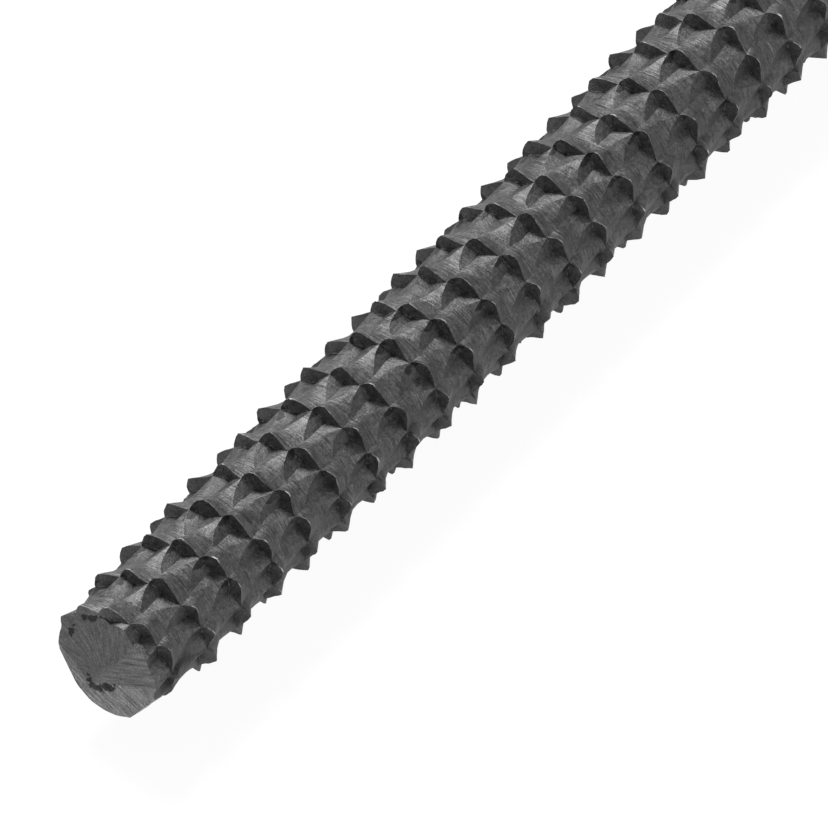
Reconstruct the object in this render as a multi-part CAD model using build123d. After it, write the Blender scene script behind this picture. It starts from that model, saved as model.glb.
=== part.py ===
from build123d import *
import math
import os

# Round rasp, made from one piece of steel.
# The blank is a round bar that tapers towards the tip. A punch has raised its teeth one after
# another along a single right-hand helix. Each tooth has a steep face towards the tip, a pit of
# two facets in front of the face, and a back that falls away to the bare blank behind it.
# Neighbouring teeth meet in a low joint, and the next turn lies about half a tooth aside.
# The end face at the tip is ground in flats: the upper part leans back, and the side where the
# teeth are ground down has two narrow bevels and a steep flat along its foot.
# Behind the teeth the heel is plain and round, and a square tapered tang takes the handle.
# The part lies along X with its tip at -X, and rests on Z = 0.

# Blank
body_length = 200.0
tip_radius = 2.77
full_radius = 3.81
taper_length = 160.0

# Layout of the teeth on the blank
heel_fade_length = 4.0
turn_advance = 2.75
whole_teeth_per_turn = 11
stagger_in_teeth = 0.451
first_joint_angle = 19.5
first_joint_along = 0.57

# One tooth, with lifts measured from the surface of the blank
joint_lift = 0.21
crest_lift = 0.66
crest_unevenness = 0.1
crest_bow = 0.14
crest_offset = -0.18
shoulder_bow_share = 0.7
shoulders = ((-0.4, 0.85), (0.1, 0.72))
punch_offset = -0.04
pit_depth = 0.21
pit_reach = 1.7
face_lean = 5.0
back_length = 1.4

# Smooth side at the tip, where the teeth are ground down to a share of their height
smooth_side_angle = 190.0
smooth_side_half_angle = 98.0
smooth_side_length = 2.9
smooth_side_fade = 1.0
smooth_side_share = 0.3

# Flats on the end face: direction about the axis, distance from the axis at the start, and slope
end_flats = ((309.0, 0.0, 8.0), (225.0, 1.97, 3.0), (156.0, 1.07, 3.0), (126.0, 2.58, 77.5))

# Heel and tang
heel_length = 12.0
heel_step = 0.09
heel_chamfer = 0.5
tang_length = 45.0
tang_root_width = 4.6
tang_end_width = 2.0
tang_corner = 0.4

teeth_per_turn = whole_teeth_per_turn + stagger_in_teeth
tooth_advance = turn_advance / teeth_per_turn
heel_radius = full_radius + heel_step
toothed_length = body_length - heel_length


def blank_radius(along):
    """Radius of the blank at a distance from the tip."""
    still_to_widen = max(0.0, 1.0 - along / taper_length)
    return full_radius - (full_radius - tip_radius) * still_to_widen


def tooth_strength(angle, row_along):
    """How fully a row is raised and sunk here: 1 for full teeth, 0 for the bare blank."""
    strength = min(1.0, (toothed_length - row_along) / heel_fade_length)
    off_side = abs((angle - smooth_side_angle + 180.0) % 360.0 - 180.0)
    if off_side < smooth_side_half_angle:
        regained = max(0.0, (row_along - smooth_side_length) / smooth_side_fade)
        strength = min(strength, smooth_side_share + (1.0 - smooth_side_share) * regained)
    return max(0.0, strength)


def uneven(number):
    """A fixed number from -0.5 to 0.5 that looks random, for one tooth."""
    return 0.5 * math.sin(number * number)


def lattice_point(place, behind, lift):
    """A point near the helix: its place in teeth, its distance behind the row, and its lift."""
    row_along = first_joint_along + place * tooth_advance
    along = row_along + behind
    degrees = first_joint_angle + place * 360.0 / teeth_per_turn
    radius = blank_radius(along) + lift * tooth_strength(degrees, row_along)
    angle = math.radians(degrees)
    return Vector(along, -radius * math.sin(angle), radius * math.cos(angle))


def joint(number):
    """The low point of the row between a tooth and the one before it."""
    return lattice_point(number, 0.0, joint_lift)


def pit_apex(number):
    """The sharp end of a tooth's pit, where the punch went in."""
    return lattice_point(number + 0.5 + punch_offset, -pit_reach, 0.0)


def tooth_facets(number):
    """The facets of one tooth: its pit, its steep face and its back."""
    face_run = (crest_lift + pit_depth) * math.tan(math.radians(face_lean))
    rise = crest_lift + crest_unevenness * uneven(number) - joint_lift
    shoulder_bow = shoulder_bow_share * crest_bow
    middle = number + 0.5
    start = joint(number)
    shoulder_a, shoulder_b = [
        lattice_point(middle + offset, shoulder_bow, joint_lift + rise * share)
        for offset, share in shoulders
    ]
    peak = lattice_point(middle + crest_offset, crest_bow, joint_lift + rise)
    end = joint(number + 1)
    deepest = lattice_point(middle + punch_offset, crest_bow - face_run, -pit_depth)
    foot = lattice_point(middle + punch_offset, back_length, 0.0)
    apex = pit_apex(number)
    crest = [start, shoulder_a, peak, shoulder_b, end]
    behind = number + whole_teeth_per_turn
    outline = crest + [pit_apex(behind + 1), joint(behind + 1), pit_apex(behind)]
    pit = [[start, apex, deepest], [deepest, apex, end]]
    face = [[deepest, second, first] for first, second in zip(crest, crest[1:])]
    back = [[foot, first, second] for first, second in zip(outline, outline[1:] + outline[:1])]
    return pit + face + back


def cut_flat(facets, depth):
    """Keep the side of the facets where depth is positive, with the directed edges of the cut."""
    kept = []
    cut_edges = []
    for facet in facets:
        depths = [depth(corner) for corner in facet]
        if min(depths) >= 0:
            kept.append(facet)
        elif max(depths) > 0:
            corners = []
            for i, corner in enumerate(facet):
                following = (i + 1) % len(facet)
                if depths[i] >= 0:
                    corners.append(corner)
                if depths[i] * depths[following] < 0:
                    share = depths[i] / (depths[i] - depths[following])
                    crossing = corner + (facet[following] - corner) * share
                    corners.append(crossing)
                    if depths[i] > 0:
                        leaving = crossing
                    else:
                        entering = crossing
            kept.append(corners)
            cut_edges.append((entering, leaving))
    return kept, cut_edges


def cut_and_close(facets, depth):
    """Cut the facets flat and close the cut with a fan of triangles."""
    kept, cut_edges = cut_flat(facets, depth)
    middle = sum((first for first, second in cut_edges), Vector()) / len(cut_edges)
    return kept + [[middle, first, second] for first, second in cut_edges]


def depth_behind(angle, distance, slope):
    """Depth behind a flat that leans towards an angle about the axis, from a distance off the axis."""
    outward = Vector(0.0, -math.sin(math.radians(angle)), math.cos(math.radians(angle)))
    rise = math.tan(math.radians(slope))
    return lambda point: point.X - (point.dot(outward) - distance) * rise


def toothed_bar():
    """Facets of the toothed bar with its end at the tip closed, and the edges at its open end."""
    first = -math.ceil((first_joint_along / turn_advance + 2.0) * teeth_per_turn)
    last = math.ceil((toothed_length / turn_advance + 1.0) * teeth_per_turn)
    facets = [facet for number in range(first, last) for facet in tooth_facets(number)]
    facets, open_edges = cut_flat(facets, lambda point: toothed_length - point.X)
    facets = cut_and_close(facets, lambda point: point.X)
    for angle, distance, slope in end_flats:
        facets = cut_and_close(facets, depth_behind(angle, distance, slope))
    return facets, open_edges


def heel_with_tang():
    """The plain round heel, with the square tang that tapers to its end."""
    heel_plane = Plane(origin=(toothed_length, 0, 0), z_dir=(1, 0, 0))
    heel = heel_plane * Cylinder(heel_radius, heel_length, align=(Align.CENTER, Align.CENTER, Align.MIN))
    heel = chamfer(heel.edges().sort_by(Axis.X)[-1], heel_chamfer)
    root = Plane(origin=(body_length, 0, 0), z_dir=(1, 0, 0))
    tang = loft([
        root * RectangleRounded(tang_root_width, tang_root_width, tang_corner),
        root.offset(tang_length) * RectangleRounded(tang_end_width, tang_end_width, tang_corner),
    ])
    return heel + tang


def rasp_solid():
    """The whole rasp, sewn from its tooth facets, its heel and the step between them."""
    facets, open_edges = toothed_bar()
    faces = [Face(Wire.make_polygon(corners)) for corners in facets]
    heel_faces = heel_with_tang().faces().sort_by(Axis.X)
    opening = Wire([Edge.make_line(first, second) for first, second in open_edges])
    step = Face(heel_faces[0].outer_wire(), [opening])
    return Solid(Shell(faces + [step] + heel_faces[1:]))


rasp = rasp_solid()
box = rasp.bounding_box()
rasp = Pos(-box.center().X, 0.0, -box.min.Z) * rasp
rasp.label = "rasp"
os.makedirs("parts", exist_ok=True)
export_step(rasp, "parts/rasp.step", write_pcurves=False)
print("faces", len(rasp.faces()), "valid", rasp.is_valid, "volume", round(rasp.volume, 1))
print("size", rasp.bounding_box().size, "axis height", round(-box.min.Z, 4))
print("tip at", round(-box.center().X, 4), "side offset", round(box.center().Y, 4))
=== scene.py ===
import math

import bmesh
import bpy
from bpy.props import FloatProperty, FloatVectorProperty, IntProperty, PointerProperty
from mathutils import Matrix, Vector


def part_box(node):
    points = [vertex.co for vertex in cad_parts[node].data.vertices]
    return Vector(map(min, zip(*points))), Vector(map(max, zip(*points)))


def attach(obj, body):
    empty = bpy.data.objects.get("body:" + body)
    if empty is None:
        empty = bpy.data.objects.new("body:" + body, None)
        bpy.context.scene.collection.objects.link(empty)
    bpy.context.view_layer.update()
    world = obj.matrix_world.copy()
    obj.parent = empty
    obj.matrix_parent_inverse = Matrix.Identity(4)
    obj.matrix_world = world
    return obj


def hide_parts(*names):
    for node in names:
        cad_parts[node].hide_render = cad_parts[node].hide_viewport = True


bl_info = {
    "name": "Round Rasp",
    "version": (1, 0, 0),
    "blender": (4, 5, 0),
    "location": "3D View > Sidebar > Rasp",
    "description": "Builds a round rasp with punched teeth, its plain heel and its tang",
    "category": "Add Mesh",
}

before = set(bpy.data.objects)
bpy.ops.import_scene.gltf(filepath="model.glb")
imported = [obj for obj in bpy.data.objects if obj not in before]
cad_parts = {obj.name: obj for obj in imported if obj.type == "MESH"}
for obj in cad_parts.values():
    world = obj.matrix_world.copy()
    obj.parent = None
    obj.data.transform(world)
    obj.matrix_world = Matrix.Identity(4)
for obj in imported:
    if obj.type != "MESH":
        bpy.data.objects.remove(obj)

MM = 0.001


# Node building


class Value:
    """A node's output. Used in a Python sum, it adds the Math node that the sum needs."""

    def __init__(self, nodes, socket):
        self.nodes = nodes
        self.socket = socket

    def math(self, operation, *others):
        return self.nodes.math(operation, self, *others)

    def __add__(self, other):
        return self.nodes.math("ADD", self, other)

    def __radd__(self, other):
        return self.nodes.math("ADD", other, self)

    def __sub__(self, other):
        return self.nodes.math("SUBTRACT", self, other)

    def __rsub__(self, other):
        return self.nodes.math("SUBTRACT", other, self)

    def __mul__(self, other):
        return self.nodes.math("MULTIPLY", self, other)

    def __rmul__(self, other):
        return self.nodes.math("MULTIPLY", other, self)

    def __truediv__(self, other):
        return self.nodes.math("DIVIDE", self, other)

    def __rtruediv__(self, other):
        return self.nodes.math("DIVIDE", other, self)

    def __neg__(self):
        return self.nodes.math("MULTIPLY", self, -1.0)


class Nodes:
    """The nodes of one tree, which may be a material, the world or Geometry Nodes."""

    def __init__(self, tree):
        self.tree = tree
        tree.nodes.clear()

    def add(self, kind, settings=None, inputs=None, output=0):
        """Adds a node, with its settings first and then its sockets, and gives one of its outputs."""
        node = self.tree.nodes.new(kind)
        for name, setting in (settings or {}).items():
            setattr(node, name, setting)
        for key, value in (inputs or {}).items():
            if isinstance(value, Value):
                self.tree.links.new(value.socket, node.inputs[key])
            else:
                node.inputs[key].default_value = value
        if not node.outputs:
            return None
        return Value(self, node.outputs[output])

    def math(self, operation, *values):
        return self.add("ShaderNodeMath", {"operation": operation}, dict(enumerate(values)))

    def smooth(self, value, start, end, low=0.0, high=1.0):
        """Goes smoothly from low to high as the value goes from start to end."""
        inputs = {"Value": value, "From Min": start, "From Max": end, "To Min": low, "To Max": high}
        return self.add("ShaderNodeMapRange", {"interpolation_type": "SMOOTHSTEP"}, inputs)

    def vector(self, x, y, z):
        return self.add("ShaderNodeCombineXYZ", None, {"X": x, "Y": y, "Z": z})

    def split(self, vector):
        """The X, Y and Z of a vector."""
        parts = self.add("ShaderNodeSeparateXYZ", None, {0: vector})
        return [Value(self, socket) for socket in parts.socket.node.outputs]

    def mix_colors(self, factor, first, second, blend="MIX"):
        settings = {"data_type": "RGBA", "blend_type": blend}
        return self.add("ShaderNodeMix", settings, {0: factor, 6: first, 7: second}, output=2)

    def grey(self, level):
        return self.add("ShaderNodeCombineColor", None, {"Red": level, "Green": level, "Blue": level})

    def noise(self, vector, scale, detail=2.0, roughness=0.5, seed=None):
        """Noise about 0.5. A seed gives another pattern at the same places."""
        inputs = {"Vector": vector, "Scale": scale, "Detail": detail, "Roughness": roughness}
        if seed is None:
            return self.add("ShaderNodeTexNoise", None, inputs)
        return self.add("ShaderNodeTexNoise", {"noise_dimensions": "4D"}, {**inputs, "W": seed})


# Sizes and colours that a user may change


def length(name, description, millimetres):
    return FloatProperty(
        name=name, description=description, default=millimetres * MM, precision=5, unit="LENGTH"
    )


def angle(name, description, degrees):
    return FloatProperty(
        name=name, description=description, default=math.radians(degrees), subtype="ANGLE"
    )


def amount(name, description, value):
    return FloatProperty(name=name, description=description, default=value)


def watts(name, description, value):
    return FloatProperty(name=name, description=description, default=value, subtype="POWER")


def position(name, description, metres):
    return FloatVectorProperty(
        name=name, description=description, default=metres, size=3, subtype="TRANSLATION", unit="LENGTH"
    )


def color(name, description, value):
    return FloatVectorProperty(
        name=name, description=description, default=value, size=4, subtype="COLOR", min=0.0, max=1.0
    )


class RaspSizes(bpy.types.PropertyGroup):
    body_length: length("Body length", "From the tip to the back of the heel", 200.0)
    tip_radius: length("Tip radius", "Radius of the bare blank at the tip", 2.77)
    full_radius: length("Full radius", "Radius of the bare blank where it stops widening", 3.81)
    taper_length: length("Taper length", "How far behind the tip the blank stops widening", 160.0)
    axis_height: length("Axis height", "Height of the rasp's axis above the floor", 4.4879)
    turn_advance: length("Turn advance", "How far one turn of teeth runs along the rasp", 2.75)
    teeth_per_turn: amount("Teeth per turn", "Teeth in one turn of the helix", 11.451)
    first_joint_angle: angle("First joint angle", "Direction of the first joint about the axis", 19.5)
    first_joint_along: length("First joint", "Distance of the first joint behind the tip", 0.57)
    crest_lift: length("Crest lift", "Height of a tooth above the blank", 0.66)
    joint_lift: length("Joint lift", "Height of the joint between two teeth above the blank", 0.21)
    crest_unevenness: length("Crest unevenness", "Range of the heights of the teeth", 0.1)
    crest_bow: length("Crest bow", "How far the middle of a crest stands behind its joints", 0.14)
    pit_depth: length("Pit depth", "Depth of the pit in front of a tooth", 0.21)
    pit_reach: length("Pit reach", "Length of the pit in front of a tooth", 1.7)
    back_length: length("Back length", "Distance in which the back of a tooth falls away", 1.4)
    heel_fade_length: length("Heel fade", "Distance in which the teeth fade out at the heel", 4.0)
    smooth_side_angle: angle("Smooth side", "Direction of the smooth side at the tip", 190.0)
    smooth_side_half_angle: angle("Smooth side width", "Half of the smooth side's width", 98.0)
    smooth_side_length: length("Smooth side length", "How far the smooth side runs along", 3.3)
    smooth_side_fade: length("Smooth side fade", "Distance in which the teeth grow behind it", 0.8)
    smooth_side_share: amount("Smooth side share", "Share of the teeth's height left there", 0.3)
    heel_length: length("Heel length", "Length of the plain heel", 12.0)
    heel_radius: length("Heel radius", "Radius of the plain heel", 3.9)
    heel_chamfer: length("Heel chamfer", "Chamfer at the back of the heel", 0.5)
    tang_length: length("Tang length", "Length of the tang behind the heel", 45.0)
    tang_root_width: length("Tang root", "Width of the square tang at the heel", 4.6)
    tang_end_width: length("Tang end", "Width of the square tang at its end", 2.0)
    tang_corner: length("Tang corner", "Radius of the corners of the tang", 0.4)
    tip_swell: length("Tip swell", "How far grinding has pushed steel over the tip's edge", 0.15)
    tip_swell_angle: angle("Tip swell direction", "Direction half-way between the two swellings", 217.0)
    tip_swell_spread: angle("Tip swell spread", "From there to each of the two swellings", 45.0)
    tip_share: amount("Tip share", "Share of the teeth's height left at the very tip", 0.72)
    stray: length("Stray", "How far the punch strays from its even path", 0.8)
    seed: IntProperty(name="Seed", description="Seed of the small irregularities", default=7)


class RaspFinish(bpy.types.PropertyGroup):
    steel: color("Steel", "Colour of the blank and of the teeth's backs", (0.064, 0.064, 0.065, 1.0))
    sheared: color("Sheared steel", "Colour of the steep tooth faces", (0.080, 0.080, 0.082, 1.0))
    struck: color("Struck steel", "Colour of the pits", (0.062, 0.062, 0.063, 1.0))
    # Partly wear and partly painted highlight: this bright colour paints the rims of the crests and
    # their glints.
    worn_and_glinting: color("Worn steel with painted glints", "Colour of the worn rims of the teeth", (0.50, 0.50, 0.50, 1.0))
    ground: color("Ground steel", "Colour of the end face", (0.105, 0.105, 0.106, 1.0))


class RaspStage(bpy.types.PropertyGroup):
    heading: angle("Camera heading", "Direction in which the camera looks, from the X axis", 34.312)
    elevation: angle("Camera elevation", "Height of the camera above the horizon", 43.2)
    lens: amount("Lens", "Focal length in millimetres", 594.4)
    distance: length("Distance", "From the camera to the tip, along its view", 635.0)
    tip_across: length("Tip across", "From the middle of the view to the tip, to the right", -14.278)
    tip_down: length("Tip down", "From the middle of the view to the tip, downwards", 11.736)
    world_level: amount("World level", "Light from all sides", 0.45)
    key_place: position("Key light place", "From the tip to the light above", (0.22, 0.29, 0.54))
    key_width: length("Key light width", "Width of the light above the rasp", 220.0)
    key_power: watts("Key light", "Power of the light above the rasp", 8.4)
    fill_place: position("Fill light place", "From the tip to the low light", (0.10, -0.58, 0.10))
    fill_width: length("Fill light width", "Width of the low light at the side", 300.0)
    fill_power: watts("Fill light", "Power of the low light at the side", 1.6)


def tip_point(sizes):
    """The point where the rasp's axis meets its end face."""
    return Vector((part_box("rasp")[0].x, 0.0, sizes.axis_height))


# The tooth, which Geometry Nodes repeats
# A place on it is (share of a tooth along the row, millimetres behind the row, lift in millimetres).

# The crest from its upper joint to its lower one: places along the row, and its shares of the full
# rise and of the full bow there. The punch struck below one of these places.
CREST_PLACES = (-0.5, -0.465, -0.405, -0.31, -0.18, -0.04, 0.09, 0.20, 0.31, 0.41, 0.5)
CREST_RISE = (0.0, 0.26, 0.53, 0.82, 1.0, 0.76, 0.50, 0.31, 0.16, 0.06, 0.0)
CREST_BOW = (0.0, 0.26, 0.58, 0.90, 1.0, 0.90, 0.76, 0.60, 0.40, 0.20, 0.0)
STRUCK = 5
STRUCK_PLACE = CREST_PLACES[STRUCK]

# The rims of the pit from its apex to the joints: place along the row, share of the pit's reach and
# share of the joint's lift
UPPER_RIM = ((-0.18, 0.847, 0.03), (-0.30, 0.656, 0.10), (-0.40, 0.446, 0.29), (-0.46, 0.223, 0.60))
LOWER_RIM = ((0.08, 0.809, 0.03), (0.20, 0.618, 0.10), (0.31, 0.408, 0.32), (0.41, 0.197, 0.63))

# Rows of points down the back, as shares of the way to the next row, and how much each is an edge
BACK_ROWS = (0.0, 0.035, 0.13, 0.29, 0.5, 0.74, 1.0)
EDGE_ROWS = (1.0, 0.7, 0.0, 0.0, 0.0, 0.0, 0.0)

# How the surfaces between these places curve: lengths are in millimetres
FACE_LEAN = math.radians(5.0)
FACE_BULGE = 0.025
PIT_SAG = 0.05
VALLEY_POWER = 0.8
FALL_POWER = 1.15
FALL_EASE_POWER = 1.7
NEXT_ROW_REACH = 1.2
NEXT_ROW_POWER = 1.3
SAME_PLACE = 1e-6

# What each face of the bar is, which its finish follows
BACK, UPPER_PIT, LOWER_PIT, FACE, END_FACE, BEVEL = range(6)


class Tooth:
    """The points and faces of one tooth with its pit, its face and its back."""

    def __init__(self, sizes):
        self.points, self.raises, self.edges, self.roots = [], [], [], []
        self.faces, self.zones = [], []
        self.turn = sizes.turn_advance / MM
        self.stagger = sizes.teeth_per_turn % 1.0
        self.depth = sizes.pit_depth / MM
        self.back_length = sizes.back_length / MM
        joint_lift = sizes.joint_lift / MM
        crest_lift = sizes.crest_lift / MM
        reach = sizes.pit_reach / MM
        bow = sizes.crest_bow / MM

        upper_joint = Vector((-0.5, 0.0, joint_lift))
        lower_joint = Vector((0.5, 0.0, joint_lift))
        face_run = (crest_lift + self.depth) * math.tan(FACE_LEAN)
        self.apex = Vector((STRUCK_PLACE, -reach, 0.0))
        self.deepest = Vector((STRUCK_PLACE, bow - face_run, -self.depth))
        self.upper_rim, self.lower_rim = [
            [self.apex]
            + [Vector((place, -reach * share, joint_lift * lift)) for place, share, lift in rim]
            + [joint]
            for rim, joint in ((UPPER_RIM, upper_joint), (LOWER_RIM, lower_joint))
        ]
        self.crest = []
        self.base = []
        for place, rise, bowed in zip(CREST_PLACES, CREST_RISE, CREST_BOW):
            lift = joint_lift + (crest_lift - joint_lift) * rise
            self.crest.append(Vector((place, bow * bowed, lift)))
            if place < STRUCK_PLACE:
                share = (place + 0.5) / (STRUCK_PLACE + 0.5)
                self.base.append(upper_joint.lerp(self.deepest, share))
            else:
                share = (place - STRUCK_PLACE) / (0.5 - STRUCK_PLACE)
                self.base.append(self.deepest.lerp(lower_joint, share))

        self.add_pit(self.upper_rim, self.base[STRUCK::-1], UPPER_PIT)
        self.add_pit(self.lower_rim, self.base[STRUCK:], LOWER_PIT)
        self.add_face()
        self.add_back()

    def point(self, place, raised=0.0, edge=0.0, root=0.0):
        """The number of the point at a place, which is added if it isn't there yet."""
        for i, known in enumerate(self.points):
            if (known - place).length < SAME_PLACE:
                self.roots[i] = max(self.roots[i], root)
                return i
        self.points.append(Vector(place))
        self.raises.append(raised)
        self.edges.append(edge)
        self.roots.append(root)
        return len(self.points) - 1

    def sheet(self, rows, zone):
        """Faces between rows of points. A face whose corners meet has fewer sides or is left out."""
        for low, high in zip(rows, rows[1:]):
            for corners in zip(low, low[1:], high[1:], high):
                ring = list(dict.fromkeys(corners))
                if len(ring) > 2:
                    self.faces.append(ring)
                    self.zones.append(zone)

    def add_pit(self, rim, ends, zone):
        """One facet of the pit, from its valley to a rim, in rows that end at the foot of the face."""
        shares = [(end.x - STRUCK_PLACE) / (ends[-1].x - STRUCK_PLACE) for end in ends]
        steps = len(rim) - 1
        rows = []
        for step in range(steps + 1):
            along = step / steps
            valley = self.apex.lerp(self.deepest, along)
            valley.z = -self.depth * along**VALLEY_POWER
            row = []
            for share in shares:
                place = valley.lerp(rim[step], share)
                place.z -= PIT_SAG * share * (1.0 - share) * along * (1.0 - along) * 4.0
                row.append(self.point(place))
            rows.append(row)
        if zone == UPPER_PIT:
            rows = [row[::-1] for row in rows]
        self.sheet(rows, zone)

    def add_face(self):
        """The steep face between the pit and the crest."""
        base = [self.point(place, root=1.0) for place in self.base]
        middle = []
        for low, high, rise in zip(self.base, self.crest, CREST_RISE):
            bulge = Vector((0.0, FACE_BULGE * rise, 0.0))
            middle.append(self.point(low.lerp(high, 0.5) + bulge, 0.5 * rise))
        crest = [
            self.point(place, rise, min(1.0, 2.0 * rise)) for place, rise in zip(self.crest, CREST_RISE)
        ]
        self.sheet([base, middle, crest], FACE)

    def add_back(self):
        """The back, which falls from the crest to the blank and meets the pits of the next row."""
        behind = [place + Vector((-self.stagger, self.turn, 0.0)) for place in self.lower_rim]
        behind += [
            place + Vector((1.0 - self.stagger, self.turn, 0.0)) for place in self.upper_rim[-2::-1]
        ]
        rows = []
        for share, edged in zip(BACK_ROWS, EDGE_ROWS):
            row = []
            for front, back, rise in zip(self.crest, behind, CREST_RISE):
                run = back.y - front.y
                fall = min(self.back_length, run)
                left = max(0.0, 1.0 - (share * run / fall) ** FALL_POWER) ** FALL_EASE_POWER
                nearing = max(0.0, 1.0 - (1.0 - share) * run / NEXT_ROW_REACH) ** NEXT_ROW_POWER
                place = front.lerp(back, share)
                place.z = front.z * left + back.z * nearing
                row.append(self.point(place, rise * left, edged * min(1.0, 2.0 * rise)))
            rows.append(row)
        self.sheet(rows, BACK)

    def mesh(self):
        """The tooth as a mesh, with what its nodes and its finish read from it."""
        mesh = bpy.data.meshes.new("tooth")
        mesh.from_pydata([(p.y * MM, p.x, p.z * MM) for p in self.points], [], self.faces)
        stored = (("raise", self.raises), ("crest_edge", self.edges), ("face_root", self.roots))
        for name, values in stored:
            mesh.attributes.new(name, "FLOAT", "POINT").data.foreach_set("value", values)
        zones = [float(zone) for zone in self.zones]
        mesh.attributes.new("zone", "FLOAT", "FACE").data.foreach_set("value", zones)
        places = mesh.uv_layers.new(name="tooth_place")
        for loop in mesh.loops:
            p = self.points[loop.vertex_index]
            places.data[loop.index].uv = (p.x, p.y)
        return mesh


# The teeth on the blank

# Irregularities: how fine each pattern is, and how far it moves the steel
STRAY_SCALE = 420.0
STRAY_ALONG_SEED = 0.3
STRAY_TURNED_SEED = 7.3
CREST_SWAY = 0.035 * MM
DENT_SCALE = 900.0
DENT_RANGE = 0.07 * MM
BURR_SCALE = 5200.0
BURR_RANGE = 0.20 * MM

# Where the changes at the tip begin and end: angles about the axis in radians, and distances
SMOOTH_SIDE_EDGE = 0.12
TIP_WEAR = (0.2 * MM, 0.8 * MM)
SWELL_ANGLES = (0.70, 0.35)
SWELL_ALONG = (0.9 * MM, 0.2 * MM)

BOX_MARGIN = 0.002 * MM
WELD_DISTANCE = 0.002 * MM


def add_sockets(tree, values):
    """Gives the tree its named inputs, with their values as defaults, and its output."""
    kinds = {int: "NodeSocketInt", float: "NodeSocketFloat"}
    tree.interface.new_socket(name="Tooth", in_out="INPUT", socket_type="NodeSocketGeometry")
    for name, value in values.items():
        kind = kinds.get(type(value), "NodeSocketMaterial")
        socket = tree.interface.new_socket(name=name, in_out="INPUT", socket_type=kind)
        if kind != "NodeSocketMaterial":
            socket.default_value = value
    tree.interface.new_socket(name="Bar", in_out="OUTPUT", socket_type="NodeSocketGeometry")


def repeated_tooth(nodes, given):
    """As many copies of the tooth as are wanted, each with its number on the helix."""
    line = nodes.add(
        "GeometryNodeMeshLine", {"mode": "OFFSET"}, {"Count": given["Teeth"], "Offset": (0, 0, 0)}
    )
    index = nodes.add("GeometryNodeInputIndex")
    numbered = nodes.add(
        "GeometryNodeStoreNamedAttribute", {"data_type": "FLOAT", "domain": "POINT"},
        {"Geometry": line, "Name": "number", "Value": index + given["First tooth"]},
    )
    placed = nodes.add(
        "GeometryNodeInstanceOnPoints", None, {"Points": numbered, "Instance": given["Tooth"]}
    )
    return nodes.add("GeometryNodeRealizeInstances", None, {"Geometry": placed})


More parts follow.
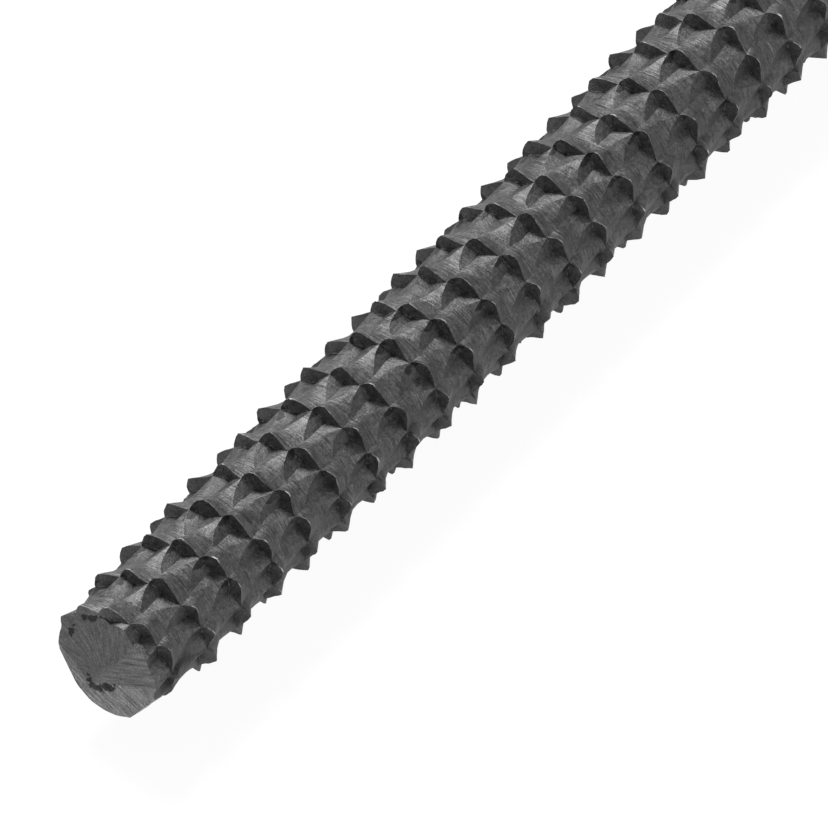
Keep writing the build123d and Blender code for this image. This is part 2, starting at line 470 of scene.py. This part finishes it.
def teeth_tree(values):
    """Geometry Nodes that repeat the tooth along the helix and wrap it round the blank."""
    tree = bpy.data.node_groups.new("Rasp teeth", "GeometryNodeTree")
    tree.is_modifier = True
    nodes = Nodes(tree)
    add_sockets(tree, values)
    start = tree.nodes.new("NodeGroupInput")
    given = {socket.name: Value(nodes, socket) for socket in start.outputs if socket.name}
    teeth = repeated_tooth(nodes, given)

    def attribute(name):
        return nodes.add("GeometryNodeInputNamedAttribute", {"data_type": "FLOAT"}, {"Name": name})

    number = attribute("number")
    raised = attribute("raise")
    edge = attribute("crest_edge")
    behind, place, lift = nodes.split(nodes.add("GeometryNodeInputPosition"))

    # Places along the rasp and angles about its axis, first even and then with the punch's stray
    per_turn = given["Teeth per turn"]
    full_radius = given["Full radius"]
    row_place = number + 0.5 + place
    row_along = given["First joint along"] + row_place * given["Turn advance"] / per_turn
    even_along = row_along + behind
    even_turned = given["First joint angle"] + row_place * (2.0 * math.pi) / per_turn
    even = nodes.vector(
        even_along, full_radius * even_turned.math("SINE"), full_radius * even_turned.math("COSINE")
    )
    stray_along = nodes.noise(even, STRAY_SCALE, 1.0, seed=given["Seed"] + STRAY_ALONG_SEED) - 0.5
    stray_turned = nodes.noise(even, STRAY_SCALE, 1.0, seed=given["Seed"] + STRAY_TURNED_SEED) - 0.5
    along = even_along + stray_along * given["Stray"]
    turned = even_turned + stray_turned * given["Stray"] / full_radius

    def angle_from(direction):
        return nodes.math("WRAP", turned - direction, math.pi, -math.pi).math("ABSOLUTE")

    # How fully the teeth are raised: less at the heel, on the smooth side and at the very tip
    at_heel = nodes.math("MINIMUM", 1.0, (given["Toothed length"] - along) / given["Heel fade"])
    half_angle = given["Smooth side half angle"]
    off_side = angle_from(given["Smooth side angle"])
    beside = nodes.smooth(off_side, half_angle - SMOOTH_SIDE_EDGE, half_angle + SMOOTH_SIDE_EDGE)
    past_side = along - given["Smooth side length"]
    regained = nodes.math("MAXIMUM", 0.0, past_side / given["Smooth side fade"])
    share_left = given["Smooth side share"]
    at_side = nodes.math("MAXIMUM", beside, share_left + (1.0 - share_left) * regained)
    at_tip = nodes.smooth(along, *TIP_WEAR, given["Tip share"], 1.0)
    strength = nodes.math("MAXIMUM", 0.0, nodes.math("MINIMUM", at_heel, at_side)) * at_tip

    # The blank with its swollen tip, and the teeth and pits on it
    widening = nodes.math("MAXIMUM", 0.0, 1.0 - along / given["Taper length"])
    blank = full_radius - (full_radius - given["Tip radius"]) * widening
    off_swell = (angle_from(given["Tip swell angle"]) - given["Tip swell spread"]).math("ABSOLUTE")
    swollen = nodes.smooth(off_swell, *SWELL_ANGLES) * nodes.smooth(along, *SWELL_ALONG)
    uneven = (number * number).math("SINE") * 0.5 * given["Crest unevenness"]
    height = lift + raised * uneven
    tooth_height = nodes.math("MAXIMUM", height, 0.0) * strength
    pit_depth = nodes.math("MINIMUM", height, 0.0) * at_heel
    radius = blank + tooth_height + pit_depth + swollen * given["Tip swell"]

    sway = raised * nodes.add(
        "FunctionNodeRandomValue", {"data_type": "FLOAT"},
        {2: -CREST_SWAY, 3: CREST_SWAY, "ID": number, "Seed": given["Seed"] + 1}, output=1,
    )

    def wrapped(distance):
        return nodes.vector(
            given["Tip place"] + along + sway,
            -distance * turned.math("SINE"),
            given["Axis height"] + distance * turned.math("COSINE"),
        )

    there = wrapped(radius)
    dents = nodes.noise(there, DENT_SCALE, 2.0) - 0.5
    burrs = nodes.noise(there, BURR_SCALE, 3.0, 0.6) - 0.5
    roughened = radius + strength * (dents * DENT_RANGE + edge * burrs * BURR_RANGE)
    kept = nodes.math("MINIMUM", roughened, given["Largest radius"])
    bent = nodes.add("GeometryNodeSetPosition", None, {"Geometry": teeth, "Position": wrapped(kept)})
    welded = nodes.add(
        "GeometryNodeMergeByDistance", None, {"Geometry": bent, "Distance": WELD_DISTANCE}
    )
    smooth = nodes.add("GeometryNodeSetShadeSmooth", None, {"Geometry": welded})
    steel = nodes.add(
        "GeometryNodeSetMaterial", None, {"Geometry": smooth, "Material": given["Steel"]}
    )
    nodes.add("NodeGroupOutput", None, {0: steel})
    return tree


def repeated_teeth(context, values):
    """The mesh that Geometry Nodes make of one tooth, with the values as their inputs."""
    pattern = bpy.data.objects.new("tooth_pattern", Tooth(context.scene.rasp_sizes).mesh())
    context.scene.collection.objects.link(pattern)
    modifier = pattern.modifiers.new("Teeth", "NODES")
    modifier.node_group = teeth_tree(values)
    for item in modifier.node_group.interface.items_tree:
        if item.name in values:
            modifier[item.identifier] = values[item.name]
    depsgraph = context.evaluated_depsgraph_get()
    mesh = bpy.data.meshes.new_from_object(
        pattern.evaluated_get(depsgraph), preserve_all_data_layers=True, depsgraph=depsgraph
    )
    bpy.data.objects.remove(pattern)
    return mesh


# The cut ends of the toothed bar

# Flats on the end face: direction about the axis and slope in degrees, distance from the axis in
# millimetres, and how each is ground
END_FLATS = (
    (309.0, 8.0, 0.0, END_FACE),
    (225.0, 3.0, 1.97, BEVEL),
    (156.0, 0.5, 1.07, BEVEL),
    (126.0, 77.5, 2.58, BEVEL),
    (235.5, 70.0, 2.63, BEVEL),
)
HEEL_OVERLAP = 0.1 * MM
CUT_TOLERANCE = 1e-8
SHARP_ANGLE = math.radians(24.0)


def cut(bm, point, normal, zone_layer, zone):
    """Cuts the side behind the plane away and closes the cut."""
    done = bmesh.ops.bisect_plane(
        bm, geom=bm.verts[:] + bm.edges[:] + bm.faces[:], dist=CUT_TOLERANCE,
        plane_co=point, plane_no=normal, clear_inner=True,
    )
    edges = [e for e in done["geom_cut"] if isinstance(e, bmesh.types.BMEdge)]
    made = bmesh.ops.edgeloop_fill(bm, edges=edges)["faces"]
    if not made:
        raise RuntimeError("the cut left no closed loop")
    for face in made:
        face[zone_layer] = float(zone)
        face.smooth = False


def cut_ends(mesh, tip, toothed_length):
    """Cuts both ends of the bar, grinds the flats on its end face and marks its sharp edges."""
    bm = bmesh.new()
    bm.from_mesh(mesh)
    zone = bm.faces.layers.float["zone"]
    backwards = Vector((1.0, 0.0, 0.0))
    cut(bm, tip, backwards, zone, END_FACE)
    for degrees, slope, distance, ground in END_FLATS:
        turn = math.radians(degrees)
        outward = Vector((0.0, -math.sin(turn), math.cos(turn)))
        leaning = backwards - outward * math.tan(math.radians(slope))
        cut(bm, tip + outward * distance * MM, leaning, zone, ground)
    cut(bm, tip + backwards * (toothed_length + HEEL_OVERLAP), -backwards, zone, BEVEL)
    bmesh.ops.triangulate(bm, faces=[f for f in bm.faces if len(f.verts) > 4])
    bmesh.ops.recalc_face_normals(bm, faces=bm.faces)
    for edge in bm.edges:
        zones = {round(face[zone]) for face in edge.link_faces}
        edge.smooth = len(zones) == 1 and edge.calc_face_angle(0.0) < SHARP_ANGLE
    open_edges = sum(1 for edge in bm.edges if len(edge.link_faces) != 2)
    bm.to_mesh(mesh)
    bm.free()
    print("toothed bar:", len(mesh.polygons), "faces, open edges", open_edges)


def finish_piece(scene, mesh, material):
    """Adds a finished piece with its one material, hangs it on the rasp's one body and hides the rasp's
    CAD part.
    """
    mesh.materials.clear()
    mesh.materials.append(material)
    piece = bpy.data.objects.new(mesh.name, mesh)
    scene.collection.objects.link(piece)
    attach(piece, "root")
    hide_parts("rasp")


class RASP_OT_toothed_bar(bpy.types.Operator):
    """Repeats the punched tooth along the helix and cuts the bar's end face and bevels"""

    bl_idname = "rasp.toothed_bar"
    bl_label = "Toothed Bar"

    def execute(self, context):
        sizes = context.scene.rasp_sizes
        tip = tip_point(sizes)
        toothed_length = sizes.body_length - sizes.heel_length
        turns_before = sizes.first_joint_along / sizes.turn_advance + 2.0
        turns_after = toothed_length / sizes.turn_advance + 1.0
        first = -math.ceil(turns_before * sizes.teeth_per_turn)
        last = math.ceil(turns_after * sizes.teeth_per_turn)
        steel = toothed_steel(context.scene)
        mesh = repeated_teeth(context, {
            "Teeth": last - first,
            "First tooth": first,
            "Teeth per turn": sizes.teeth_per_turn,
            "Turn advance": sizes.turn_advance,
            "First joint angle": sizes.first_joint_angle,
            "First joint along": sizes.first_joint_along,
            "Tip radius": sizes.tip_radius,
            "Full radius": sizes.full_radius,
            "Taper length": sizes.taper_length,
            "Toothed length": toothed_length,
            "Heel fade": sizes.heel_fade_length,
            "Smooth side angle": sizes.smooth_side_angle,
            "Smooth side half angle": sizes.smooth_side_half_angle,
            "Smooth side length": sizes.smooth_side_length,
            "Smooth side fade": sizes.smooth_side_fade,
            "Smooth side share": sizes.smooth_side_share,
            "Tip share": sizes.tip_share,
            "Tip swell": sizes.tip_swell,
            "Tip swell angle": sizes.tip_swell_angle,
            "Tip swell spread": sizes.tip_swell_spread,
            "Crest unevenness": sizes.crest_unevenness,
            "Stray": sizes.stray,
            "Tip place": tip.x,
            "Axis height": sizes.axis_height,
            "Largest radius": sizes.axis_height - BOX_MARGIN,
            "Seed": sizes.seed,
            "Steel": steel,
        })
        mesh.name = "toothed_bar"
        cut_ends(mesh, tip, toothed_length)
        for polygon in mesh.polygons:
            polygon.material_index = 0
        finish_piece(context.scene, mesh, steel)
        return {"FINISHED"}


# The heel and the tang

RING_POINTS = 144
TANG_STEPS = 12
HEEL_EDGE = 0.06 * MM
TANG_EDGE = 0.15 * MM
HEEL_SHARP_ANGLE = math.radians(30.0)


def ring_directions():
    """Directions at equal angles, one for each point of a ring."""
    turns = (2.0 * math.pi * (i + 0.5) / RING_POINTS for i in range(RING_POINTS))
    return [Vector((math.cos(turn), math.sin(turn))) for turn in turns]


def circle(radius):
    return [direction * radius for direction in ring_directions()]


def rounded_square(width, corner):
    """Points round a square with rounded corners."""
    half = width / 2.0
    inner = half - corner
    ring = []
    for direction in ring_directions():
        reach = half / max(abs(direction.x), abs(direction.y))
        on_side = direction * reach
        if min(abs(on_side.x), abs(on_side.y)) > inner:
            centre = Vector((math.copysign(inner, direction.x), math.copysign(inner, direction.y)))
            middle = direction.dot(centre)
            reach = middle + math.sqrt(max(0.0, middle**2 - centre.length_squared + corner**2))
        ring.append(direction * reach)
    return ring


class RASP_OT_heel_and_tang(bpy.types.Operator):
    """Builds the plain round heel and the square tang that tapers to its end"""

    bl_idname = "rasp.heel_and_tang"
    bl_label = "Heel and Tang"

    def execute(self, context):
        sizes = context.scene.rasp_sizes
        tip = tip_point(sizes)
        front = tip.x + sizes.body_length - sizes.heel_length
        back = tip.x + sizes.body_length
        radius = sizes.heel_radius
        chamfer = sizes.heel_chamfer
        rings = [
            (front, circle(radius - HEEL_EDGE)),
            (front + HEEL_EDGE, circle(radius)),
            (back - chamfer, circle(radius)),
            (back, circle(radius - chamfer)),
        ]
        for step in range(TANG_STEPS):
            share = step / TANG_STEPS
            width = sizes.tang_root_width + (sizes.tang_end_width - sizes.tang_root_width) * share
            rings.append((back + sizes.tang_length * share, rounded_square(width, sizes.tang_corner)))
        for edge in (TANG_EDGE, 0.0):
            width = sizes.tang_end_width - 2.0 * (TANG_EDGE - edge)
            rings.append((back + sizes.tang_length - edge, rounded_square(width, sizes.tang_corner)))

        bm = bmesh.new()
        loops = [[bm.verts.new((x, p.x, p.y + sizes.axis_height)) for p in ring] for x, ring in rings]
        for low, high in zip(loops, loops[1:]):
            for i in range(RING_POINTS):
                following = (i + 1) % RING_POINTS
                bm.faces.new((low[i], low[following], high[following], high[i]))
        bm.faces.new(loops[0])
        bm.faces.new(loops[-1])
        for face in bm.faces:
            face.smooth = True
        bmesh.ops.recalc_face_normals(bm, faces=bm.faces)
        mesh = bpy.data.meshes.new("heel_and_tang")
        bm.to_mesh(mesh)
        bm.free()
        mesh.set_sharp_from_angle(angle=HEEL_SHARP_ANGLE)
        finish_piece(context.scene, mesh, plain_steel(context.scene))
        return {"FINISHED"}


# Finishes

# Torn places on the end face: millimetres across and down it from the axis, and size
END_TEARS = (
    (-0.62, -2.30, 0.24), (-0.34, -2.34, 0.34), (0.0, -2.44, 0.24), (1.08, -2.36, 0.26),
    (1.34, -2.15, 0.32), (1.72, -1.97, 0.30), (2.05, -1.84, 0.24), (-1.55, -0.35, 0.22),
    (-1.76, -0.15, 0.28), (-1.90, 0.10, 0.32), (-1.78, 0.33, 0.30), (-1.52, 0.50, 0.34),
    (-1.26, 0.65, 0.38), (-1.02, 0.80, 0.36), (-0.80, 0.94, 0.28),
)
TEAR_FLATNESS = 1.8

# Painted shade of a ragged recess below the end face: millimetres behind the tip, across and down, and
# size
RECESS_SHADE = (1.8, 0.9, 2.45, 1.5)
RECESS_SHADE_FLATNESS = 2.0
TEAR_EDGE = 0.6

# Across and down the end face are directions turned about the axis by 31.3 degrees, here as cosine
# and sine. Given in them are the middle of the fan of marks, the direction of the grooves, and how
# far across the straight marks of one side fade in.
END_TURN = (0.8545, 0.5195)
FAN_MIDDLE = (-1.08, 0.35)
GROOVE_RUN = (0.825, 0.565)
SIDE_FADE = (-1.82, -1.92)

# Painted shade beside the upper end of a tooth, where its crest hooks over at the joint: its middle and
# its half size, along the row and behind it
HOOK_SHADE_MIDDLE = (-0.42, -0.22)
HOOK_SHADE_HALF = (0.12, 0.42)

METALLIC = 0.9


def rasp_coordinates(nodes, sizes):
    """Object coordinates in millimetres, centred on the axis at the tip."""
    tip = tip_point(sizes)
    x, y, z = nodes.split(nodes.add("ShaderNodeTexCoord", output=3))
    return (x - tip.x) / MM, y / MM, (z - tip.z) / MM


def principled(nodes, base, roughness, bumps):
    """A metallic shader with bumps one over the other, each a height, a distance and a strength."""
    normal = None
    for height, distance, strength in bumps:
        inputs = {"Height": height, "Distance": distance, "Strength": strength}
        if normal:
            inputs["Normal"] = normal
        normal = nodes.add("ShaderNodeBump", None, inputs)
    shader = nodes.add("ShaderNodeBsdfPrincipled", None, {
        "Base Color": base, "Roughness": roughness, "Metallic": METALLIC, "Normal": normal,
    })
    nodes.add("ShaderNodeOutputMaterial", None, {"Surface": shader})


def across_and_down(y, z):
    """Distances from the axis across and down the end face."""
    return z * END_TURN[0] - y * END_TURN[1], y * -END_TURN[0] - z * END_TURN[1]


def blotches(nodes, here, scale):
    """Blotches about zero, with another pattern for each scale."""
    return nodes.noise(here, scale, 2.0, 0.6, seed=scale + 20.0) - 0.5


def ragged_spot(offsets, ragged, outside, inside):
    """1 inside a ragged spot and 0 outside it, from the offsets to the spot's middle."""
    first, *others = [offset * offset for offset in offsets]
    away = sum(others, first).math("SQRT")
    return away.nodes.smooth(away + ragged, outside, inside)


def turned_lines(nodes, here, x, y, z, wander):
    """Lines turned round the blank, clearer in some places than in others."""
    along = x + wander * 0.25
    lines = nodes.noise(nodes.vector(along * 7.5, y * 0.5, z * 0.5), 1.0, 2.0, 0.6) - 0.5
    fine_place = nodes.vector(along * 15.0, y * 1.1, z * 1.1)
    fine_lines = nodes.noise(fine_place, 1.0, 1.0, 0.6, seed=3.0) - 0.5
    clear = nodes.smooth(nodes.noise(here, 1.6, 2.0, seed=5.0), 0.36, 0.6, 0.35, 1.0)
    return (lines * 2.2 + fine_lines * 1.6) * clear


def grinding_marks(nodes, across, down, wander, on_end, on_bevel):
    """Marks on the end face, a fan above, grooves below and straight at the side, and its level, with
    painted light on the side strip and the bevels.
    """
    fan_across = across - FAN_MIDDLE[0]
    fan_down = down - FAN_MIDDLE[1]
    out = (fan_across * fan_across + fan_down * fan_down).math("SQRT")
    spoke = fan_down.math("ARCTAN2", fan_across) + wander * 0.06 * out + out * 0.10
    fan = nodes.noise(nodes.vector(spoke * 12.0, out * 0.8, 0.0), 1.0, 4.0, 0.75) - 0.5
    off_groove = down * GROOVE_RUN[0] - across * GROOVE_RUN[1]
    along_groove = down * GROOVE_RUN[1] + across * GROOVE_RUN[0]
    grooves = nodes.noise(nodes.vector(off_groove * 6.0, along_groove * 0.5, 4.0), 1.0, 4.0, 0.7) - 0.5
    straight = nodes.noise(nodes.vector(across * 7.0, down * 0.8, 8.0), 1.0, 4.0, 0.75) - 0.5
    grooved = nodes.smooth(down + wander * 0.5, 0.05, 0.45)
    at_side = nodes.smooth(across + down * 0.04 + wander * 0.2, *SIDE_FADE)
    on_side = nodes.math("MAXIMUM", on_bevel, at_side * on_end)
    marks = fan + (grooves * 1.2 - fan) * grooved
    marks = marks + (straight * 1.5 - marks) * on_side
    # The level: 0.30 brighter where the grooves run, and painted light 0.60 brighter on the side strip
    # and the bevels, lit as if they leaned toward the light above.
    return marks, 0.95 + grooved * 0.30 + on_side * 0.60


def tears_and_recess_shade(nodes, here, x, across, down, on_end):
    """The dark tears on the end face, and the painted shade of a ragged recess below it."""
    ragged = blotches(nodes, here, 2.0) * 0.9 + blotches(nodes, here, 7.0) * 0.5
    tears = 0.0
    for tear_across, tear_down, size in END_TEARS:
        offsets = (across - tear_across, (down - tear_down) * TEAR_FLATNESS)
        tears = nodes.math("MAXIMUM", tears, ragged_spot(offsets, ragged, size, size * TEAR_EDGE))
    behind_tip, hollow_across, hollow_down, size = RECESS_SHADE
    offsets = (x - behind_tip, across - hollow_across, (down - hollow_down) * RECESS_SHADE_FLATNESS)
    # Painted shade: the recess has no shape of its own, only this darkening.
    recess_shade = ragged_spot(offsets, ragged, size, size * TEAR_EDGE) * (1.0 - on_end)
    return tears, recess_shade


def hook_shade_by_teeth(nodes, here, place, behind, on_end):
    """Painted shade beside the upper end of some teeth, where the crest hooks over at the joint."""
    offsets = (
        (place - HOOK_SHADE_MIDDLE[0]) / HOOK_SHADE_HALF[0],
        (behind - HOOK_SHADE_MIDDLE[1]) / HOOK_SHADE_HALF[1],
    )
    some = nodes.smooth(nodes.noise(here, 0.45, 0.0, seed=12.0), 0.42, 0.56, 0.25, 1.0)
    return ragged_spot(offsets, blotches(nodes, here, 3.0) * 2.6, 1.0, 0.75) * (1.0 - on_end) * some


def worn_rims_and_glints(nodes, here, place, behind, edge, on_back):
    """Bright rims along some crests, partly wear and partly painted highlight brighter toward the upper
    end, and short painted glints near their peaks.
    """
    broken = nodes.smooth(nodes.noise(here, 2.2, 2.0, 0.6, seed=8.0), 0.46, 0.58)
    # Painted highlight: the rims grow brighter toward the upper end of each crest, the side that faces
    # the light above.
    near_peak = nodes.smooth(place, 0.25, -0.10, 0.1, 0.45)
    rim = nodes.smooth(edge, 0.74, 0.96) * on_back * broken * near_peak
    # Painted glints: short highlights near the peaks of some crests, where they catch the light.
    glinting = nodes.smooth(nodes.noise(here, 1.5, 0.0, seed=15.0), 0.44, 0.54)
    at_peak = nodes.smooth((place + 0.2).math("ABSOLUTE"), 0.12, 0.03)
    glint = at_peak * nodes.smooth(behind, 0.26, 0.18)
    return nodes.math("MAXIMUM", rim, glint * on_back * glinting * 0.75)


def toothed_steel(scene):
    """Dark steel with turned lines on the blank, sheared faces, struck pits, rims of wear with painted
    highlights, and painted shade and light.
    """
    finish = scene.rasp_finish
    material = bpy.data.materials.new("toothed_steel")
    material.use_nodes = True
    nodes = Nodes(material.node_tree)
    x, y, z = rasp_coordinates(nodes, scene.rasp_sizes)
    here = nodes.vector(x, y, z)
    across, down = across_and_down(y, z)
    place, behind = nodes.split(nodes.add("ShaderNodeUVMap", {"uv_map": "tooth_place"}))[:2]

    def attribute(name):
        return nodes.add("ShaderNodeAttribute", {"attribute_name": name}, output=2)

    zone = attribute("zone")
    edge = attribute("crest_edge")
    root = attribute("face_root")

    def in_zone(number):
        return zone.math("COMPARE", float(number), 0.4)

    on_back = in_zone(BACK)
    on_face = in_zone(FACE)
    in_upper_pit = in_zone(UPPER_PIT)
    in_lower_pit = in_zone(LOWER_PIT)
    on_bevel = in_zone(BEVEL)
    on_end = in_zone(END_FACE) + on_bevel

    wander = nodes.noise(here, 0.8, 2.0) - 0.5
    cloud = nodes.noise(here, 1.1, 3.0, 0.6) - 0.5
    mottle = nodes.noise(here, 4.0, 3.0, 0.65) - 0.5
    grain = nodes.noise(here, 11.0, 2.0, 0.7) - 0.5
    pocks = nodes.smooth(nodes.noise(here, 5.5, 1.0, seed=2.0), 0.70, 0.75)
    lined = turned_lines(nodes, here, x, y, z, wander)
    marks, end_level_and_bevel_light = grinding_marks(nodes, across, down, wander, on_end, on_bevel)
    tears, recess_shade = tears_and_recess_shade(nodes, here, x, across, down, on_end)
    hook_shade = hook_shade_by_teeth(nodes, here, place, behind, on_end)
    rim = worn_rims_and_glints(nodes, here, place, behind, edge, on_back)

    # The thin bright line at the foot of some faces
    footed = nodes.smooth(nodes.noise(here, 5.0, 1.0, seed=9.0), 0.45, 0.6)
    foot = nodes.smooth(root, 0.75, 0.97) * on_face * footed

    # How light or dark the steel is, on the teeth and on the end face, with some painted shade and
    # painted light in it
    tone = (1.0 + cloud * 0.8) * (1.0 + mottle * 1.5) * (1.0 + grain * 1.9)
    tone = tone * (1.0 + lined * (on_back + in_lower_pit * 0.15 + in_upper_pit * 0.1))
    # Painted shade: beside the upper ends of some teeth and in the recess below the end face the tone is
    # darkened by up to 0.65; the pocks are the steel's own.
    tone = tone * (1.0 - pocks * 0.55) * (1.0 - nodes.math("MAXIMUM", hook_shade, recess_shade) * 0.65)
    # Painted shade: the upper facet of each pit, which faces away from the light above, is made darker.
    tone = tone * (1.0 - in_upper_pit * 0.22)
    end_tone = (1.0 + cloud * 0.4) * (1.0 + mottle * 0.9) * (1.0 + grain * 2.0) * (1.0 + marks * 2.6)
    end_tone = end_tone * end_level_and_bevel_light * (1.0 - tears * 0.85)
    tone = tone + (end_tone - tone) * on_end
    tone = nodes.math("MAXIMUM", tone, 0.15)

    in_pit = in_upper_pit + in_lower_pit
    base = nodes.mix_colors(in_pit, tuple(finish.steel), tuple(finish.struck))
    base = nodes.mix_colors(on_face, base, tuple(finish.sheared))
    base = nodes.mix_colors(on_end, base, tuple(finish.ground))
    base = nodes.mix_colors(1.0, base, nodes.grey(tone), "MULTIPLY")
    # Rims of wear with painted highlights and glints take the bright rim colour, and the foot lines take
    # 0.35 of it.
    base = nodes.mix_colors(nodes.math("MINIMUM", 1.0, rim + foot * 0.35), base, tuple(finish.worn_and_glinting))
    roughness = 0.55 + mottle * 0.3 + grain * 0.2 - rim * 0.15
    principled(nodes, base, roughness, [
        (cloud * 0.6 + mottle * 0.4, 0.10 * MM, 0.8),
        (grain, 0.02 * MM, 0.8),
        (lined * (on_back + in_lower_pit * 0.2) + marks * on_end, 0.025 * MM, 0.9),
    ])
    return material


def plain_steel(scene):
    """Dark steel of the heel, with turned lines, and of the tang, with lengthwise lines."""
    finish = scene.rasp_finish
    sizes = scene.rasp_sizes
    material = bpy.data.materials.new("plain_steel")
    material.use_nodes = True
    nodes = Nodes(material.node_tree)
    x, y, z = rasp_coordinates(nodes, sizes)
    here = nodes.vector(x, y, z)
    heel_back = sizes.body_length / MM
    on_tang = nodes.smooth(x, heel_back - 0.02, heel_back + 0.02)
    turned = nodes.noise(nodes.vector(x * 9.0, y * 0.45, z * 0.45), 1.0, 3.0, 0.65)
    drawn = nodes.noise(nodes.vector(x * 0.3, y * 7.0, z * 7.0), 1.0, 3.0, 0.65)
    lines = turned + (drawn - turned) * on_tang
    cloud = nodes.noise(here, 0.5, 4.0, 0.6)
    grain = nodes.noise(here, 9.0, 4.0, 0.7)
    shade = (0.7 + cloud * 0.6) * (1.0 + (lines - 0.5) * 1.2) * (1.0 + (grain - 0.5) * 0.7)
    base = nodes.mix_colors(on_tang, tuple(finish.steel), tuple(finish.struck))
    base = nodes.mix_colors(1.0, base, nodes.grey(shade), "MULTIPLY")
    roughness = 0.46 + (grain - 0.5) * 0.25
    principled(nodes, base, roughness, [
        (cloud, 0.06 * MM, 0.5),
        (grain, 0.02 * MM, 0.6),
        (lines, 0.03 * MM, 0.8),
    ])
    return material


# Stage

FLOOR_SIZE = 6.0
FLOOR_GREY = 0.9
FLOOR_SHOWN_WHITE = 0.95
SENSOR_WIDTH = 36.0
CAMERA_REACH = (0.01, 50.0)


def seen_directly(nodes):
    """1 for rays from the camera and for what shows in metal or glass, and 0 for rays of light."""
    path = nodes.add("ShaderNodeLightPath").socket.node.outputs
    camera, glossy, through = (
        Value(nodes, path[name]) for name in ("Is Camera Ray", "Is Glossy Ray", "Is Transmission Ray")
    )
    return nodes.math("MAXIMUM", camera, nodes.math("MAXIMUM", glossy, through))


def add_floor(scene):
    """A pale floor that keeps the rasp's shadow."""
    bm = bmesh.new()
    bmesh.ops.create_grid(bm, x_segments=1, y_segments=1, size=FLOOR_SIZE)
    mesh = bpy.data.meshes.new("floor")
    bm.to_mesh(mesh)
    bm.free()
    floor = bpy.data.objects.new("floor", mesh)
    scene.collection.objects.link(floor)
    material = bpy.data.materials.new("pale_floor")
    material.use_nodes = True
    nodes = Nodes(material.node_tree)
    matt = nodes.add("ShaderNodeBsdfDiffuse", None, {"Color": (FLOOR_GREY, FLOOR_GREY, FLOOR_GREY, 1.0)})
    white = nodes.add("ShaderNodeEmission", None, {"Strength": 1.0})
    white_share = seen_directly(nodes) * FLOOR_SHOWN_WHITE
    shown = nodes.add("ShaderNodeMixShader", None, {0: white_share, 1: matt, 2: white})
    nodes.add("ShaderNodeOutputMaterial", None, {"Surface": shown})
    mesh.materials.append(material)


def add_world(scene, light_level):
    """A world that shows white and lights the rasp softly from all sides."""
    world = bpy.data.worlds.new("studio")
    world.use_nodes = True
    nodes = Nodes(world.node_tree)
    level = light_level + seen_directly(nodes) * (1.0 - light_level)
    sky = nodes.add("ShaderNodeBackground", None, {"Color": (1.0, 1.0, 1.0, 1.0), "Strength": level})
    nodes.add("ShaderNodeOutputWorld", None, {"Surface": sky})
    scene.world = world


def add_lamp(scene, name, tip, place, width, power):
    """A round lamp that stands at a place from the tip and shines at it."""
    lamp = bpy.data.lights.new(name, "AREA")
    lamp.shape = "DISK"
    lamp.size = width
    lamp.energy = power
    light = bpy.data.objects.new(name, lamp)
    light.location = tip + Vector(place)
    light.rotation_euler = (tip - light.location).to_track_quat("-Z", "Y").to_euler()
    scene.collection.objects.link(light)


def add_camera(scene, stage, tip):
    """The camera, which sees the tip low on the left and the bar running up to the right."""
    up = Vector((0.0, 0.0, 1.0))
    heading = Vector((math.cos(stage.heading), math.sin(stage.heading), 0.0))
    forward = heading * math.cos(stage.elevation) - up * math.sin(stage.elevation)
    right = forward.cross(up).normalized()
    down = forward.cross(right)
    seen = bpy.data.cameras.new("camera")
    seen.lens = stage.lens
    seen.sensor_width = SENSOR_WIDTH
    seen.clip_start, seen.clip_end = CAMERA_REACH
    camera = bpy.data.objects.new("camera", seen)
    to_tip = right * stage.tip_across + down * stage.tip_down + forward * stage.distance
    camera.location = tip - to_tip
    camera.rotation_mode = "QUATERNION"
    camera.rotation_quaternion = Matrix((right, -down, -forward)).transposed().to_quaternion()
    scene.collection.objects.link(camera)
    scene.camera = camera


class RASP_OT_stage(bpy.types.Operator):
    """Adds the pale floor, the soft light and the camera"""

    bl_idname = "rasp.stage"
    bl_label = "Stage"

    def execute(self, context):
        scene = context.scene
        stage = scene.rasp_stage
        tip = tip_point(scene.rasp_sizes)
        add_floor(scene)
        add_world(scene, stage.world_level)
        add_lamp(scene, "key", tip, stage.key_place, stage.key_width, stage.key_power)
        add_lamp(scene, "fill", tip, stage.fill_place, stage.fill_width, stage.fill_power)
        add_camera(scene, stage, tip)
        scene.view_settings.view_transform = "Standard"
        return {"FINISHED"}


class RASP_PT_panel(bpy.types.Panel):
    """The rasp's pieces, sizes and finishes"""

    bl_idname = "RASP_PT_panel"
    bl_label = "Round Rasp"
    bl_space_type = "VIEW_3D"
    bl_region_type = "UI"
    bl_category = "Rasp"

    def draw(self, context):
        layout = self.layout
        for operator in (RASP_OT_toothed_bar, RASP_OT_heel_and_tang, RASP_OT_stage):
            layout.operator(operator.bl_idname)
        for group in (context.scene.rasp_sizes, context.scene.rasp_finish, context.scene.rasp_stage):
            box = layout.box()
            for name in group.__annotations__:
                box.prop(group, name)


GROUPS = {"rasp_sizes": RaspSizes, "rasp_finish": RaspFinish, "rasp_stage": RaspStage}
CLASSES = (
    *GROUPS.values(), RASP_OT_toothed_bar, RASP_OT_heel_and_tang, RASP_OT_stage, RASP_PT_panel,
)


def register():
    for cls in CLASSES:
        bpy.utils.register_class(cls)
    for name, group in GROUPS.items():
        setattr(bpy.types.Scene, name, PointerProperty(type=group))


def unregister():
    for name in GROUPS:
        delattr(bpy.types.Scene, name)
    for cls in reversed(CLASSES):
        bpy.utils.unregister_class(cls)


def main():
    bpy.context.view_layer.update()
    register()
    bpy.ops.rasp.toothed_bar()
    bpy.ops.rasp.heel_and_tang()
    bpy.ops.rasp.stage()


if __name__ == "__main__":
    main()
